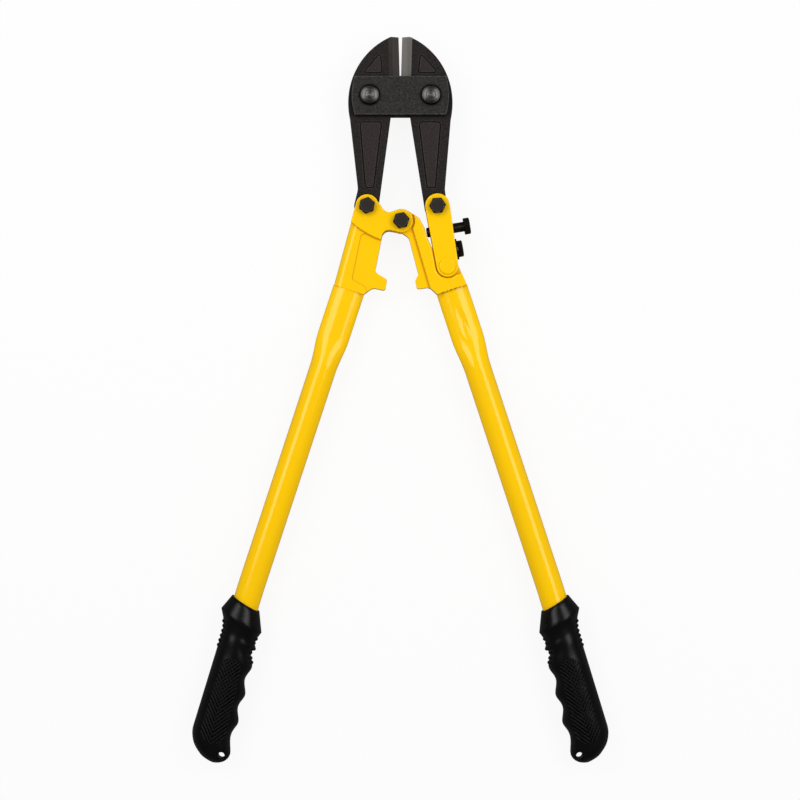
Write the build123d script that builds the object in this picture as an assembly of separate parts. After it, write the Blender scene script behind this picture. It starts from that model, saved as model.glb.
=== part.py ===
from build123d import *
import os
from math import acos, atan2, cos, pi, radians, sin

# Bolt cutters with centre-cut jaws, a compound lever head and long tubular handles.
# Construction frame, in millimetres: X to the right, Y towards the jaws, Z up,
# with Z = 0 on the middle plane and Y = 0 level with the centre pivot.
# The finished pieces are shifted so that the origin lies under the middle of the tool.

# Pivots
CENTRE = (0.7, 0.0)
LEFT_TAIL = (-27.2, 12.1)
RIGHT_TAIL = (30.3, 12.1)
JAW_PIN_X = 25.0
JAW_PIN_Y = 102.4
RIVET = (38.5, -37.0)

# Thicknesses, as heights above the middle plane
JAW_HALF = 6.0
SIDE_GAP = 0.25
PLATE_TOP = 11.0
CHEEK_TOP = 10.25
BODY_TOP = 7.6
BAND_TOP = 9.2
SLOT_HALF = JAW_HALF + SIDE_GAP
REST_DEPTH = 16.5

# Fits
RUNNING_GAP = 0.05

# Jaws
TIP_Y = 150.9
TIP_WIDTH = 7.3
CLOSED_GAP = 0.08
CLOSING_TURN = 1.625
EDGE_LAND = 0.4
INNER_BEVEL = (5.4, 3.3)
BEVEL_WIDTH = 8.2
BEVEL_END_Y = 114.5
EDGE_FOOT_Y = 110.0
LEFT_EYE = (-27.9, 12.1)
LEFT_EYE_RADIUS = 9.9
LEFT_NECK = (-34.7, 26.0)
RIGHT_EYE = (28.9, 12.1)
RIGHT_EYE_RADIUS = 9.1
RIGHT_NECK = (36.4, 26.0)
RIGHT_EYE_HOLE = (28.2, 12.3)
RIGHT_EYE_HOLE_RADIUS = 6.8
NECK_ROUND = 12.0
CROTCH_ROUND = 6.0
PAD_RISE = 0.3
PAD_GROOVE = 1.2
GROOVE_DEPTH = 0.6
JAW_ROUND = 0.7

# Jaw plates
PLATE_CORNER = (37.4, 86.3, 118.0)
PLATE_BULGE_X = 39.8
PLATE_ROUND = 0.6

# Jaw pins
PIN_RADIUS = 5.0
PIN_HEAD_RADIUS = 8.15
PIN_HEAD_RIM = 1.8
PIN_HEAD_TOP = 14.5
PIN_RINGS = (3.4, 6.2)
PIN_RING_DEPTH = 0.35
PIN_DIMPLE_RADIUS = 0.9
PIN_THREAD_RADIUS = 4.0
PIN_NUT_FLATS = 15.0
THREAD_SETBACK = 0.5

# Pivot bolts, size M8
BOLT_RADIUS = 4.0
BOLT_FLATS = 12.0
BOLT_HEAD_HEIGHT = 5.2
HEX_CHAMFER = 0.8
CENTRE_BOLT_TURN = 12.0
LEFT_BOLT_TURN = 20.0
RIGHT_BOLT_TURN = 4.0

# Handle heads
EAR_RADIUS = 9.4
HUB_EAR_RADIUS = 9.6
HUB_RADIUS = 9.2
HUB_CLEARANCE_RADIUS = 11.3
SLOT_EYE_RADIUS = 12.6
FORGING_ROUND = 1.0
BAND_ROUND = 1.8
BODY_EDGE_ROUND = 6.6
HEAD_PANEL_DEPTH = 0.6
SEAM_HALF_WIDTH = 12.7

# Adjuster
LINK_HALF_WIDTH = 10.1
LINK_FOOT_RADIUS = 8.9
LINK_ROUND = 0.8
POCKET_GAP = 0.7
POCKET_MOUTH_ROUND = 12.0
RIVET_RADIUS = 5.0
RIVET_HEAD_RADIUS = 6.75
RIVET_HEAD_HEIGHT = 1.6
SCREW_RADIUS = 4.0
SCREW_FLATS = 13.0
BLOCK_START = 12.6
BLOCK_LENGTH = 15.0
BLOCK_HALF_WIDTH = 9.2
ADJUST_STATION = 19.6
ADJUST_TIP = -12.2
ADJUST_HEAD = 18.8
ADJUST_HEAD_HEIGHT = 5.0
LOCK_STATION = 37.0
LOCK_TIP = -9.0
LOCK_HEAD_HEIGHT = 4.3
LOCK_BORE_LENGTH = 30.0
WASHER_RADIUS = 8.6
WASHER_THICKNESS = 1.2
LOCK_SEAT = 9.55

# Handle tubes
TUBE_TOP = (-42.3, -56.1)
TUBE_BEND = (-122.8, -300.6)
TUBE_RADIUS = 11.0
TUBE_WALL = 1.5
FLAT_HALF_WIDTH = 13.2
FLAT_HALF_THICK = 7.1
FLAT_END_RADIUS = 5.0
FLAT_LENGTH = 40.0
TAPER_LENGTH = 28.0
TAPER_STEPS = 4
CROWN_RISE = 0.2
SPIGOT_LENGTH = 34.0
BEND_RADIUS = 200.0
SWAGE_START = 20.0
SWAGE_END = 34.0
SWAGED_RADIUS = 8.5
TUBE_END = 118.0
CRIMP_STATION = 28.4
CRIMP_HALF_LENGTH = 15.0
CRIMP_HALF_WIDTH = 4.6
CRIMP_DEPTH = 1.1
CRIMP_LIFT = 1.65

# Grips, measured from the tube's bend along the grip's own line
GRIP_TILT = 17.0
GRIP_SLANT = 15.0
COLLAR_TOP = 13.0
COLLAR_EDGE = 27.2
NECK_START = 33.0
NECK_END = 39.0
FINGER_START = 44.0
FINGER_RISE = 0.054
FINGER_FIRST = 56.6
FINGER_PITCH = 22.9
FINGER_COUNT = 3
FINGER_HEIGHT = 3.3
FINGER_REACH = 10.8
FINGER_STEPS = 4
HEEL_START = 118.0
GRIP_BACK = -12.1
GRIP_INNER = 16.1
GRIP_HALF_THICK = 14.0
HANG_HOLE = (137.3, 17.2)
HANG_HOLE_RADIUS = 2.85
HANG_LUG_HALF = 7.0
HANG_FACE_RADIUS = 3.5


def slab(face, low, high):
    """A flat outline made solid between two heights."""
    return extrude(Pos(0, 0, low) * face, high - low)


def disc(centre, radius):
    """A round outline at a point of the middle plane."""
    return Pos(*centre) * Circle(radius)


def rod(centre, radius, low, high):
    """An upright round bar between two heights."""
    return slab(disc(centre, radius), low, high)


def round_corner(face, corner, radius):
    """An outline with its corner nearest to a point rounded."""
    return fillet(face.vertices().sort_by_distance(corner)[0], radius)


def corner_face(corners):
    """An outline from its corners, each with the radius that rounds it."""
    face = make_face(Polyline([(x, y) for x, y, radius in corners], close=True))
    for x, y, radius in corners:
        if radius:
            face = round_corner(face, (x, y), radius)
    return face


def mirrored(shape):
    """The left-hand shape turned into the right-hand one."""
    return mirror(shape, about=Plane.YZ)


def rounded_rims(solid, radius):
    """A slab with the edges of its top and bottom faces rounded."""
    faces = solid.faces().sort_by(Axis.Z)
    return fillet(faces[0].edges() + faces[-1].edges(), radius)


def hexagon(flats, height):
    """A hexagon block on the XY plane, its upper corners turned off at an angle."""
    block = extrude(RegularPolygon(flats / 2, 6, major_radius=False), height)
    turned = Pos(0, 0, height / 2) * Cylinder(flats / 2 / cos(pi / 6), height)
    turned = chamfer(turned.edges().sort_by(Axis.Z)[-1], HEX_CHAMFER, 2 * HEX_CHAMFER)
    return block & turned


def nut(centre, flats, bore_radius, top):
    """A nut that hangs below the given height and reaches down to the resting plane."""
    height = REST_DEPTH - top
    body = Pos(*centre, -top) * Rot(180, 0, 0) * hexagon(flats, height)
    return body - rod(centre, bore_radius, -REST_DEPTH - 1, -top + 1)


def pivot_bolt(centre, head_turn):
    """A hexagon bolt through the cheeks, its end level with the face of its nut."""
    head = Pos(*centre, CHEEK_TOP) * Rot(0, 0, head_turn) * hexagon(BOLT_FLATS, BOLT_HEAD_HEIGHT)
    return head + rod(centre, BOLT_RADIUS, -REST_DEPTH + THREAD_SETBACK, CHEEK_TOP)


def pivot_nut(centre):
    return nut(centre, BOLT_FLATS, BOLT_RADIUS, CHEEK_TOP)


def edge_x(y):
    """The left jaw's cutting edge at rest, opened by the closing turn about its pin."""
    return -CLOSED_GAP - (y - JAW_PIN_Y) * radians(CLOSING_TURN)


def tangent_point(centre, radius, outside, side):
    """Where a line from an outside point touches a circle; side 1 is left, seen from the middle."""
    reach = Vector(*outside) - Vector(*centre)
    turn = atan2(reach.Y, reach.X) + side * acos(radius / reach.length)
    return (centre[0] + radius * cos(turn), centre[1] + radius * sin(turn))


def jaw_outline(eye, radius, neck):
    """A left-hand jaw from above: curved nose, straight tail and round eye."""
    tip = (edge_x(TIP_Y), TIP_Y)
    nose = (-TIP_WIDTH, TIP_Y)
    cheek = (-41.7, 107.5)
    waist = (-41.2, 83.0)
    crotch = (-7.6, 88.0)
    heel = (-2.4, 91.0)
    edge_foot = (edge_x(EDGE_FOOT_Y), EDGE_FOOT_Y)
    # The tail's two lines meet the eye at a tangent
    eye_start = tangent_point(eye, radius, neck, 1)
    eye_bottom = (eye[0], eye[1] - radius)
    eye_end = tangent_point(eye, radius, crotch, -1)
    nose_arc = ThreePointArc(nose, (-27.6, 136.3), cheek)
    face = make_face(
        Line(tip, nose)
        + nose_arc
        + TangentArc(cheek, waist, tangent=nose_arc % 1)
        + Polyline(waist, neck, eye_start)
        + ThreePointArc(eye_start, eye_bottom, eye_end)
        + Polyline(eye_end, crotch, heel, edge_foot, tip)
    )
    return round_corner(round_corner(face, neck, NECK_ROUND), crotch, CROTCH_ROUND)


def jaw_pads(margin):
    """The two raised pads on a face of the left jaw, on the nose and on the tail, grown by a margin."""
    nose = corner_face([(-16.2, 137.6, 1.6), (-14.9, 121.2, 1.4), (-30.6, 121.2, 1.4)])
    tail = corner_face([(-33.0, 80.9, 2.6), (-15.2, 80.9, 2.6), (-21.9, 27.3, 1.8), (-28.6, 27.3, 1.8)])
    return offset(nose, margin) + offset(tail, margin)


def blade_bevel():
    """What is ground off one face of the left jaw to leave the cutting edge."""
    inner_run, inner_rise = INNER_BEVEL
    spare = 3.0
    profile = Polyline(
        (spare, EDGE_LAND),
        (0, EDGE_LAND),
        (-inner_run, inner_rise),
        (-BEVEL_WIDTH, JAW_HALF),
        (-BEVEL_WIDTH, JAW_HALF + spare),
        (spare, JAW_HALF + spare),
        close=True,
    )
    foot = Plane(
        origin=(edge_x(BEVEL_END_Y), BEVEL_END_Y, 0),
        x_dir=(cos(radians(CLOSING_TURN)), sin(radians(CLOSING_TURN)), 0),
        z_dir=(-sin(radians(CLOSING_TURN)), cos(radians(CLOSING_TURN)), 0),
    )
    # Seen along the blade the plane's second axis points down, so the profile is turned over
    return extrude(foot * mirror(make_face(profile), about=Plane.XZ), TIP_Y)


def jaw_blank(eye, radius, neck):
    """A left-hand jaw without the hole in its eye."""
    blank = slab(jaw_outline(eye, radius, neck), -JAW_HALF, JAW_HALF)
    blade_side = -12.0
    rims = blank.faces().sort_by(Axis.Z)
    rims = (rims[0].edges() + rims[-1].edges()).filter_by(lambda edge: edge.center().X < blade_side)
    blank = fillet(rims, JAW_ROUND)
    bevel = blade_bevel()
    pad = jaw_pads(-PAD_GROOVE / 2)
    groove = slab(jaw_pads(PAD_GROOVE / 2) - pad, JAW_HALF - GROOVE_DEPTH, JAW_HALF + 1)
    for cut in (bevel, groove):
        blank = blank - cut - mirror(cut, about=Plane.XY)
    blank += slab(pad, -JAW_HALF - PAD_RISE, JAW_HALF + PAD_RISE)
    return blank - rod((-JAW_PIN_X, JAW_PIN_Y), PIN_RADIUS + RUNNING_GAP, -JAW_HALF, JAW_HALF)


def left_jaw():
    blank = jaw_blank(LEFT_EYE, LEFT_EYE_RADIUS, LEFT_NECK)
    return blank - rod(LEFT_TAIL, BOLT_RADIUS + RUNNING_GAP, -JAW_HALF, JAW_HALF)


def right_jaw():
    """The right eye is wide, so the tail bolt has room for the adjuster and for the lever's swing."""
    eye = (-RIGHT_EYE[0], RIGHT_EYE[1])
    neck = (-RIGHT_NECK[0], RIGHT_NECK[1])
    blank = mirrored(jaw_blank(eye, RIGHT_EYE_RADIUS, neck))
    return blank - rod(RIGHT_EYE_HOLE, RIGHT_EYE_HOLE_RADIUS, -JAW_HALF, JAW_HALF)


def jaw_plate():
    """The strap on the front of both jaws, with bowed ends and two pin holes."""
    x, low, high = PLATE_CORNER
    middle = (low + high) / 2
    face = make_face(
        Line((-x, low), (x, low))
        + ThreePointArc((x, low), (PLATE_BULGE_X, middle), (x, high))
        + Line((x, high), (-x, high))
        + ThreePointArc((-x, high), (-PLATE_BULGE_X, middle), (-x, low))
    )
    plate = slab(face, SLOT_HALF, PLATE_TOP)
    plate = fillet(plate.faces().sort_by(Axis.Z)[-1].edges(), PLATE_ROUND)
    for side in (-1, 1):
        plate -= rod((side * JAW_PIN_X, JAW_PIN_Y), PIN_RADIUS, 0, PLATE_TOP + 1)
    return plate


def jaw_pin(side):
    """A shouldered pin: domed head with turned rings in front, threaded end behind."""
    centre = (side * JAW_PIN_X, JAW_PIN_Y)
    rise = PIN_HEAD_TOP - PLATE_TOP - PIN_HEAD_RIM
    dome_radius = (PIN_HEAD_RADIUS**2 + rise**2) / (2 * rise)
    top = Pos(*centre, PIN_HEAD_TOP)
    dome = top * Pos(0, 0, -dome_radius) * Sphere(dome_radius)
    head = rod(centre, PIN_HEAD_RADIUS, PLATE_TOP, PIN_HEAD_TOP) & dome
    for radius in PIN_RINGS:
        drop = dome_radius - (dome_radius**2 - radius**2) ** 0.5
        head -= top * Pos(0, 0, -drop) * Torus(radius, PIN_RING_DEPTH)
    head -= top * Sphere(PIN_DIMPLE_RADIUS)
    shank = rod(centre, PIN_RADIUS, -PLATE_TOP, PLATE_TOP)
    return head + shank + rod(centre, PIN_THREAD_RADIUS, -REST_DEPTH + THREAD_SETBACK, -PLATE_TOP)


def jaw_pin_nut(side):
    return nut((side * JAW_PIN_X, JAW_PIN_Y), PIN_NUT_FLATS, PIN_THREAD_RADIUS, PLATE_TOP)


def tube_plane(station):
    """The left tube's cross-section plane, its first axis towards the other handle."""
    along = (Vector(*TUBE_BEND) - Vector(*TUBE_TOP)).normalized()
    across = Vector(-along.Y, along.X)
    return Plane(origin=Vector(*TUBE_TOP) + along * station, x_dir=across, z_dir=along)


def oval(half_width, half_thick, end_radius):
    """A flattened tube's section: two tight ends joined by two gently crowned faces."""
    end_centre = half_width - end_radius
    crown = (end_centre**2 + half_thick**2 - end_radius**2) / (2 * (half_thick - end_radius))
    scale = crown / (crown - end_radius)
    joint = (end_centre * scale, half_thick - crown + (crown - half_thick) * scale)
    x, y = joint
    return make_face(
        ThreePointArc((-x, y), (0, half_thick), (x, y))
        + ThreePointArc((x, y), (half_width, 0), (x, -y))
        + ThreePointArc((x, -y), (0, -half_thick), (-x, -y))
        + ThreePointArc((-x, -y), (-half_width, 0), (-x, y))
    )


def quartered_circle(radius):
    """A round section in four arcs, to be lofted with the oval."""
    x = radius * cos(pi / 4)
    return make_face(
        ThreePointArc((-x, x), (0, radius), (x, x))
        + ThreePointArc((x, x), (radius, 0), (x, -x))
        + ThreePointArc((x, -x), (0, -radius), (-x, -x))
        + ThreePointArc((-x, -x), (-radius, 0), (-x, x))
    )


def flat_section(inset):
    return oval(FLAT_HALF_WIDTH - inset, FLAT_HALF_THICK - inset, FLAT_END_RADIUS - inset)


def taper(inset):
    """The tube's change from oval to round, eased at both ends."""
    sections = [tube_plane(FLAT_LENGTH) * flat_section(inset)]
    for step in range(1, TAPER_STEPS):
        part = step / TAPER_STEPS
        ease = part * part * (3 - 2 * part)
        width = FLAT_HALF_WIDTH + (TUBE_RADIUS - FLAT_HALF_WIDTH) * ease
        thick = FLAT_HALF_THICK + (TUBE_RADIUS - FLAT_HALF_THICK) * ease
        end = FLAT_END_RADIUS + (min(width, thick) - CROWN_RISE - FLAT_END_RADIUS) * ease
        plane = tube_plane(FLAT_LENGTH + TAPER_LENGTH * part)
        sections.append(plane * oval(width - inset, thick - inset, end - inset))
    sections.append(tube_plane(FLAT_LENGTH + TAPER_LENGTH) * quartered_circle(TUBE_RADIUS - inset))
    return loft(sections)


def grip_axis():
    """The grip's line down the handle and the direction across it, towards the other handle."""
    turn = radians(GRIP_TILT)
    return Vector(-sin(turn), -cos(turn)), Vector(cos(turn), -sin(turn))


def grip_plane(station):
    along, across = grip_axis()
    return Plane(origin=Vector(*TUBE_BEND) + along * station, x_dir=across, z_dir=along)


def tube_solid(inset):
    """The left tube's outer shape, or its bore when inset by the wall."""
    along, across = grip_axis()
    bend = Vector(*TUBE_BEND)
    round_start = tube_plane(FLAT_LENGTH + TAPER_LENGTH)
    path = FilletPolyline(round_start.origin, bend, bend + along * SWAGE_START, radius=BEND_RADIUS)
    wide = TUBE_RADIUS - inset
    narrow = SWAGED_RADIUS - inset
    flat = extrude(tube_plane(0) * flat_section(inset), FLAT_LENGTH)
    straight = sweep(round_start * Circle(wide), path)
    swage = loft([grip_plane(SWAGE_START) * Circle(wide), grip_plane(SWAGE_END) * Circle(narrow)])
    tail = extrude(grip_plane(SWAGE_END) * Circle(narrow), TUBE_END - SWAGE_END)
    return flat + taper(inset) + straight + swage + tail


def handle_tube():
    return tube_solid(0) - tube_solid(TUBE_WALL)


def crimp():
    """The oval dent that locks the right tube to its head, shaped on the left one."""
    reach = CRIMP_LIFT + CRIMP_DEPTH
    spread = 1 / (1 - (CRIMP_LIFT / reach) ** 2) ** 0.5
    dent = scale(Sphere(1), (CRIMP_HALF_WIDTH * spread, reach, CRIMP_HALF_LENGTH * spread))
    place = tube_plane(CRIMP_STATION)
    front = place.y_dir.Z * (FLAT_HALF_THICK + CRIMP_LIFT)
    return place * Pos(0, front, 0) * dent


def finger_edge(station):
    """The grip's inner edge: a rising line with a bump between each pair of fingers."""
    edge = GRIP_INNER + FINGER_RISE * (station - FINGER_START)
    for index in range(FINGER_COUNT):
        away = abs(station - FINGER_FIRST - index * FINGER_PITCH)
        if away < FINGER_REACH:
            edge += FINGER_HEIGHT * (1 + cos(pi * away / FINGER_REACH)) / 2
    return edge


def grip_section(station, back, inner, half_thick):
    """A slanted oval section of the grip between its outer and inner edges."""
    along, across = grip_axis()
    slant = radians(GRIP_SLANT)
    wide = across * cos(slant) + along * sin(slant)
    normal = along * cos(slant) - across * sin(slant)
    middle = (back + inner) / 2 / cos(slant)
    half_width = (inner - back) / 2 / cos(slant)
    origin = Vector(*TUBE_BEND) + along * station + wide * middle
    return Plane(origin=origin, x_dir=wide, z_dir=normal) * Ellipse(half_width, half_thick)


def grip_solid():
    """The left grip's outer shape: a flared collar, a neck, finger bumps and a round heel."""
    lip = grip_section(COLLAR_TOP, -12.7, 12.6, 12.8)
    edge = grip_section(COLLAR_EDGE, -18.2, 19.2, REST_DEPTH)
    neck = grip_section(NECK_START, -14.6, 17.2, 14.2)
    waist = grip_section(NECK_END, -12.5, 16.3, 13.6)
    body = [waist]
    step = FINGER_PITCH / FINGER_STEPS
    station = FINGER_FIRST - 2 * step
    while station < HEEL_START:
        body.append(grip_section(station, GRIP_BACK, finger_edge(station), GRIP_HALF_THICK))
        station += step
    body += [
        grip_section(119.5, GRIP_BACK, 20.7, 14.0),
        grip_section(124.0, -12.1, 22.4, 13.8),
        grip_section(128.5, -11.6, 23.7, 13.4),
        grip_section(132.0, -10.4, 23.2, 12.7),
        grip_section(135.5, -8.4, 21.4, 11.5),
        grip_section(138.5, -5.4, 18.6, 9.6),
        grip_section(140.8, -1.6, 15.2, 7.0),
        grip_section(142.2, 2.8, 11.4, 3.6),
    ]
    collar = loft([lip, edge], ruled=True) + loft([edge, neck], ruled=True)
    return collar + loft([neck, waist], ruled=True) + loft(body)


def hang_point():
    along, across = grip_axis()
    down, inward = HANG_HOLE
    point = Vector(*TUBE_BEND) + along * down + across * inward
    return (point.X, point.Y)


def grip():
    """The moulded sleeve on the left tube, with a hole through its end lug to hang it by."""
    sleeve = grip_solid() - tube_solid(0)
    for low in (HANG_LUG_HALF, -REST_DEPTH - 1):
        sleeve -= rod(hang_point(), HANG_FACE_RADIUS, low, low + REST_DEPTH + 1 - HANG_LUG_HALF)
    return sleeve - rod(hang_point(), HANG_HOLE_RADIUS, -REST_DEPTH, REST_DEPTH)


def spigot():
    """The tongue of the left head inside its flattened tube."""
    root = 4.0
    return extrude(tube_plane(-root) * flat_section(TUBE_WALL), SPIGOT_LENGTH + root)


def seam_point(across):
    """A point on the line where the left head meets its tube."""
    point = tube_plane(0).from_local_coords((across, 0, 0))
    return (point.X, point.Y)


def left_head_outline():
    """The left forging from above: two ears, a broad body and the stop nose."""
    body = corner_face(
        [
            (-36.9, 12.0, 0),
            (*seam_point(-SEAM_HALF_WIDTH), 0),
            (*seam_point(SEAM_HALF_WIDTH), 0),
            (-22.6, -54.6, 6.0),
            (-12.6, -56.9, 2.0),
            (-10.9, -47.8, 1.2),
            (-20.9, -42.0, 5.0),
            (-14.0, -6.8, 6.0),
            (-1.0, -9.2, 0),
            (-1.8, 9.2, 0),
            (-11.6, 5.8, 6.0),
            (-18.3, 15.8, 0),
        ]
    )
    return body + disc(LEFT_TAIL, EAR_RADIUS) + disc(CENTRE, HUB_EAR_RADIUS)


def below_cheeks():
    """Everything on the handle's side of the line where the left head's cheeks end."""
    start = (-46.0, 5.2)
    end = (-9.0, -17.6)
    return make_face(
        ThreePointArc(start, (-27.5, -10.2), end)
        + Polyline(end, (20.0, end[1]), (20.0, -80.0), (-80.0, -80.0), (-80.0, start[1]), start)
    )


def left_slot():
    """The room between the left head's cheeks for the jaw's eye and the other handle's hub."""
    reach = 60.0
    rounds = disc(LEFT_TAIL, SLOT_EYE_RADIUS) + disc(CENTRE, HUB_RADIUS + 1)
    rounds += disc((LEFT_TAIL[0] - reach, reach), 1) + disc((reach, reach), 1)
    return make_hull(rounds.edges())


def left_head_panel():
    """The lower level of the left head's body, which runs out over the stop nose."""
    return corner_face(
        [
            (-32.4, -11.6, 3.0),
            (-39.8, -48.0, 3.0),
            (-29.4, -53.6, 2.0),
            (-26.6, -60.0, 0),
            (0.0, -60.0, 0),
            (0.0, -6.0, 0),
            (-20.0, -6.0, 0),
        ]
    )


def left_handle_head():
    """Forked forging: cheeks with two ears above, a solid body with the stop nose below."""
    outline = left_head_outline()
    cheeks = rounded_rims(slab(outline - below_cheeks(), -CHEEK_TOP, CHEEK_TOP), FORGING_ROUND)
    body = slab(outline & below_cheeks(), -BODY_TOP, BODY_TOP)
    outer_side = -45.0
    outer_edges = body.edges().filter_by(lambda edge: edge.center().X < outer_side)
    outer_edges = outer_edges.filter_by(lambda edge: abs(edge.center().Z) > FORGING_ROUND)
    body = fillet(outer_edges.filter_by(Axis.Z, reverse=True).sort_by(SortBy.LENGTH)[-2:], BODY_EDGE_ROUND)
    panel = slab(left_head_panel(), BODY_TOP - HEAD_PANEL_DEPTH, BODY_TOP + 1)
    body = body - panel - mirror(panel, about=Plane.XY)
    head = cheeks + body + spigot()
    head -= slab(left_slot(), -SLOT_HALF, SLOT_HALF)
    for pivot in (LEFT_TAIL, CENTRE):
        head -= rod(pivot, BOLT_RADIUS, -CHEEK_TOP, CHEEK_TOP)
    return head


def right_web_outline():
    """The right forging's thin web from above: hub tongue, arm, link lug and stop nose."""
    inner_seam = seam_point(SEAM_HALF_WIDTH)
    outer_seam = seam_point(-SEAM_HALF_WIDTH)
    arm = corner_face(
        [
            (0.7, -9.2, 0),
            (7.0, -13.6, 6.0),
            (14.8, -43.6, 3.0),
            (12.3, -48.4, 1.2),
            (13.6, -55.6, 2.0),
            (24.0, -54.2, 6.0),
            (-inner_seam[0], inner_seam[1], 0),
            (-outer_seam[0], outer_seam[1], 0),
            (47.6, -37.0, 0),
            (44.8, -17.4, 2.0),
            (26.4, -23.0, 0),
            (21.9, -13.5, 12.0),
            (19.6, -5.4, 6.0),
            (15.6, 2.0, 5.0),
            (6.4, 8.4, 0),
        ]
    )
    return arm + disc(CENTRE, HUB_RADIUS)


def link_plane():
    """The adjuster link's own frame: origin at the tail bolt, first axis across, second up."""
    up = (Vector(*RIGHT_TAIL) - Vector(*RIVET)).normalized()
    return Plane(origin=(*RIGHT_TAIL, 0), x_dir=(up.Y, -up.X), z_dir=(0, 0, 1))


def link_outline(margin):
    """A round-ended bar from the tail bolt to the rivet, a little slimmer at the rivet."""
    ends = disc(RIGHT_TAIL, LINK_HALF_WIDTH + margin) + disc(RIVET, LINK_FOOT_RADIUS + margin)
    return make_hull(ends.edges())


def right_band_outline():
    """The raised band along the arm, broad at the foot, clear of the hub and of the link."""
    band = corner_face(
        [
            (9.0, -3.0, 0),
            (25.4, -59.0, 0),
            (48.0, -80.0, 0),
            (70.0, -60.0, 0),
            (66.6, -37.4, 0),
            (39.6, -46.2, 0),
            (39.6, 16.0, 0),
            (9.4, 16.0, 0),
        ]
    )
    pocket = link_outline(POCKET_GAP)
    band = (band & right_web_outline()) - disc(CENTRE, HUB_CLEARANCE_RADIUS) - pocket
    pocket_mouth = (25.8, -21.6)
    return round_corner(band, pocket_mouth, POCKET_MOUTH_ROUND)


def right_band():
    """The raised band with its long rims rounded, and its ends at the hub and the tube left sharp."""
    band = slab(right_band_outline(), -BAND_TOP, BAND_TOP)
    faces = band.faces().sort_by(Axis.Z)
    foot = -50.0
    outer_side = 45.0

    def long_rim(edge):
        middle = edge @ 0.5
        from_hub = (Vector(middle.X, middle.Y) - Vector(*CENTRE)).length
        return from_hub > HUB_CLEARANCE_RADIUS + 1 and middle.Y > foot and middle.X < outer_side

    return fillet((faces[0].edges() + faces[-1].edges()).filter_by(long_rim), BAND_ROUND)


def screw_place(station):
    """A frame across the link at a distance from the tail bolt, Z pointing out of its right edge."""
    frame = link_plane()
    return Plane(origin=frame.origin - frame.y_dir * station, x_dir=frame.y_dir, z_dir=frame.x_dir)


def right_handle_head():
    """Forging with a hub between the other head's ears, a raised band and a web for the link."""
    web = slab(right_web_outline(), -JAW_HALF, JAW_HALF)
    head = web + right_band() + mirrored(spigot())
    head -= rod(CENTRE, BOLT_RADIUS + RUNNING_GAP, -JAW_HALF, JAW_HALF)
    head -= rod(RIVET, RIVET_RADIUS, -JAW_HALF, JAW_HALF)
    bore = screw_place(LOCK_STATION) * Pos(0, 0, LOCK_TIP - 1) * Circle(SCREW_RADIUS)
    return head - extrude(bore, LOCK_BORE_LENGTH)


def link_plate():
    """The front plate of the adjuster link, free on the rivet and tight on the tail bolt."""
    plate = slab(link_outline(0), SLOT_HALF, CHEEK_TOP)
    plate = fillet(plate.faces().sort_by(Axis.Z)[-1].edges(), LINK_ROUND)
    plate -= rod(RIVET, RIVET_RADIUS + RUNNING_GAP, 0, CHEEK_TOP + 1)
    return plate - rod(RIGHT_TAIL, BOLT_RADIUS, 0, CHEEK_TOP + 1)


def adjuster_block():
    """The spacer between the link plates that the adjusting screw turns in."""
    centre = Pos(0, -BLOCK_START - BLOCK_LENGTH / 2)
    face = link_plane() * centre * Rectangle(2 * BLOCK_HALF_WIDTH, BLOCK_LENGTH)
    bore = Pos(0, 0, -BLOCK_HALF_WIDTH - 1) * Circle(SCREW_RADIUS)
    bore = extrude(screw_place(ADJUST_STATION) * bore, 2 * BLOCK_HALF_WIDTH + 2)
    return slab(face, -SLOT_HALF, SLOT_HALF) - bore


def link_rivet():
    """A shank through the web and both plates, with a low round head on each side."""
    top = CHEEK_TOP + RIVET_HEAD_HEIGHT
    rivet = rod(RIVET, RIVET_RADIUS, -top, top)
    for low in (CHEEK_TOP, -top):
        rivet += rod(RIVET, RIVET_HEAD_RADIUS, low, low + RIVET_HEAD_HEIGHT)
    return fillet(rivet.edges().filter_by(GeomType.CIRCLE).group_by(Axis.Z)[-1], RIVET_HEAD_HEIGHT / 2)


def cross_screw(station, tip, head, head_height):
    """A hexagon screw across the link, from its tip on the left to its head on the right."""
    shank = extrude(Pos(0, 0, tip) * Circle(SCREW_RADIUS), head - tip)
    shank = chamfer(shank.edges().sort_by(Axis.Z)[0], HEX_CHAMFER)
    # A corner of the head faces the front
    hexagon_head = Pos(0, 0, head) * Rot(0, 0, 30) * hexagon(SCREW_FLATS, head_height)
    return screw_place(station) * (shank + hexagon_head)


def adjusting_screw():
    return cross_screw(ADJUST_STATION, ADJUST_TIP, ADJUST_HEAD, ADJUST_HEAD_HEIGHT)


def lock_head():
    """Where the lock screw's head meets its washer."""
    return LOCK_SEAT + WASHER_THICKNESS


def lock_screw():
    return cross_screw(LOCK_STATION, LOCK_TIP, lock_head(), LOCK_HEAD_HEIGHT)


def lock_screw_washer():
    ring = Pos(0, 0, lock_head() - WASHER_THICKNESS) * (Circle(WASHER_RADIUS) - Circle(SCREW_RADIUS))
    return screw_place(LOCK_STATION) * extrude(ring, WASHER_THICKNESS)


def rear(shape):
    """A front piece turned into the one behind."""
    return mirror(shape, about=Plane.XY)


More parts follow.
